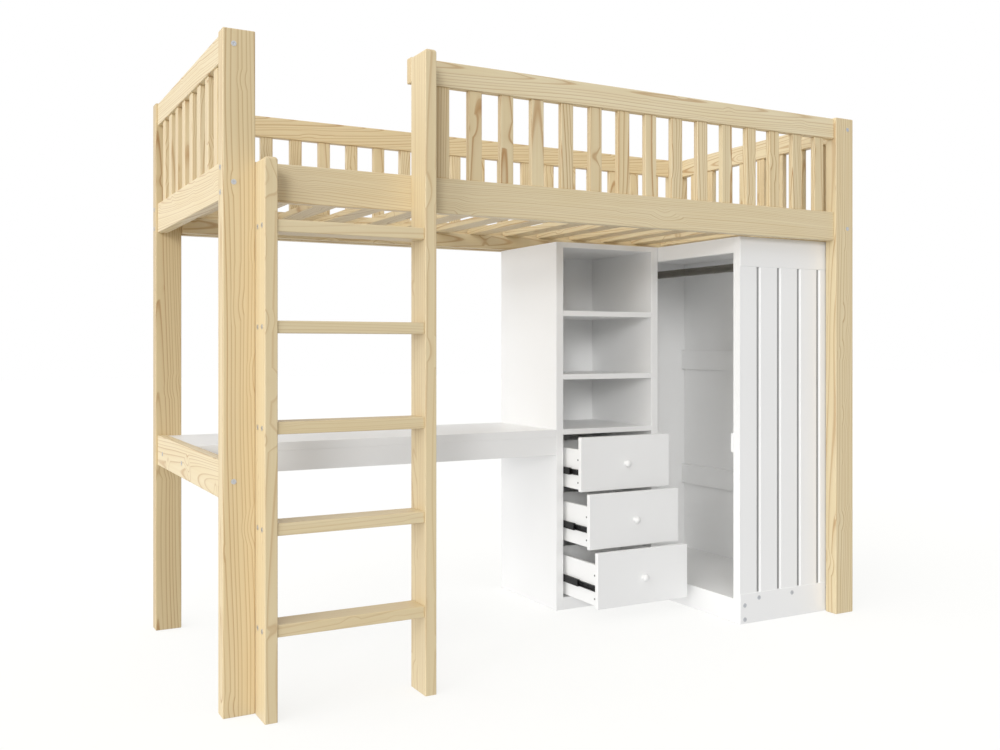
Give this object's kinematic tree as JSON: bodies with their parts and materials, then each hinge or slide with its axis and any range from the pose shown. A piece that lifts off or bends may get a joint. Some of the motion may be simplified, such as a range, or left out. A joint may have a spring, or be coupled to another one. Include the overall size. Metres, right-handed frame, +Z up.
{
  "type": "loft bed with desk and wardrobe",
  "caption": "High single bed in pine with a fixed ladder over a white desk, a shelf tower with sliding drawers and an open wardrobe with a hanging rail.",
  "frame": {"origin": "on the floor, at the middle of the whole object's outline, ladder included", "axes": "+X along the bed to the right as seen from the ladder side, +Y towards the back, +Z up"},
  "size_m": [2.0824, 1.0912, 1.674],
  "materials": {
    "pine": "planed solid pine, thin clear matt varnish",
    "white_lacquer": "boards sprayed with satin white lacquer",
    "white_drawer_sides": "foil-wrapped white board, satin",
    "white_knob": "turned wood, satin white lacquer",
    "zinc_steel": "bright zinc-plated steel",
    "black_steel": "black electro-coated steel, semi-gloss",
    "hanging_rail_steel": "drawn steel tube, dull warm grey"
  },
  "bodies": {
    "bed": {"bed_end_rails": "pine", "bed_slats": "pine", "cabinet_screws": "zinc_steel", "desk_apron": "white_lacquer", "desk_end_cleat": "white_lacquer", "desk_end_rail": "pine", "desk_top": "white_lacquer", "frame_bolts": "zinc_steel", "guard_rail_back": "pine", "guard_rail_front": "pine", "guard_rails_ends": "pine", "guard_slats_back": "pine", "guard_slats_ends": "pine", "guard_slats_front": "pine", "hanging_rail": "hanging_rail_steel", "hanging_rail_sockets": "hanging_rail_steel", "ladder_rungs": "pine", "ladder_stile_left": "pine", "ladder_stile_right": "pine", "post_back_left": "pine", "post_back_right": "pine", "post_front_left": "pine", "post_front_right": "pine", "side_rail_back": "pine", "side_rail_front": "pine", "slat_cleats": "pine", "slide_outer_members": "black_steel", "tower_back": "white_lacquer", "tower_bottom": "white_lacquer", "tower_drawer_deck": "white_lacquer", "tower_kick_board": "white_lacquer", "tower_shelves": "white_lacquer", "tower_side_left": "white_lacquer", "tower_side_right": "white_lacquer", "tower_top": "white_lacquer", "wardrobe_back_panel": "white_lacquer", "wardrobe_battens": "white_lacquer", "wardrobe_end_panel": "white_lacquer", "wardrobe_floor": "white_lacquer", "wardrobe_front_boards": "white_lacquer", "wardrobe_front_rails": "white_lacquer", "wardrobe_header_rail": "white_lacquer", "wardrobe_kick_rail": "white_lacquer", "wardrobe_stiles": "white_lacquer", "wardrobe_top": "white_lacquer"},
    "drawer_top": {"drawer_front_top": "white_lacquer", "drawer_box_top": "white_drawer_sides", "drawer_knob_top": "white_knob", "slide_inner_top": "black_steel"},
    "slide_link_top": {"slide_middle_top": "black_steel"},
    "drawer_middle": {"drawer_front_middle": "white_lacquer", "drawer_box_middle": "white_drawer_sides", "drawer_knob_middle": "white_knob", "slide_inner_middle": "black_steel"},
    "slide_link_middle": {"slide_middle_middle": "black_steel"},
    "drawer_bottom": {"drawer_front_bottom": "white_lacquer", "drawer_box_bottom": "white_drawer_sides", "drawer_knob_bottom": "white_knob", "slide_inner_bottom": "black_steel"},
    "slide_link_bottom": {"slide_middle_bottom": "black_steel"}
  },
  "joints": [
    {"name": "drawer_top_slide", "type": "slide", "parent": "bed", "child": "drawer_top", "axis": [0, -1, 0], "range_m": [-0.114, 0.236]},
    {"name": "slide_link_top_slide", "type": "slide", "parent": "bed", "child": "slide_link_top", "axis": [0, -1, 0], "range_m": [-0.057, 0.118]},
    {"name": "drawer_middle_slide", "type": "slide", "parent": "bed", "child": "drawer_middle", "axis": [0, -1, 0], "range_m": [-0.17, 0.18]},
    {"name": "slide_link_middle_slide", "type": "slide", "parent": "bed", "child": "slide_link_middle", "axis": [0, -1, 0], "range_m": [-0.085, 0.09]},
    {"name": "drawer_bottom_slide", "type": "slide", "parent": "bed", "child": "drawer_bottom", "axis": [0, -1, 0], "range_m": [-0.222, 0.128]},
    {"name": "slide_link_bottom_slide", "type": "slide", "parent": "bed", "child": "slide_link_bottom", "axis": [0, -1, 0], "range_m": [-0.111, 0.064]}
  ],
  "couplings": [
    {"joint": "slide_link_top_slide", "follows": "drawer_top_slide", "ratio": 0.5},
    {"joint": "slide_link_middle_slide", "follows": "drawer_middle_slide", "ratio": 0.5},
    {"joint": "slide_link_bottom_slide", "follows": "drawer_bottom_slide", "ratio": 0.5}
  ]
}
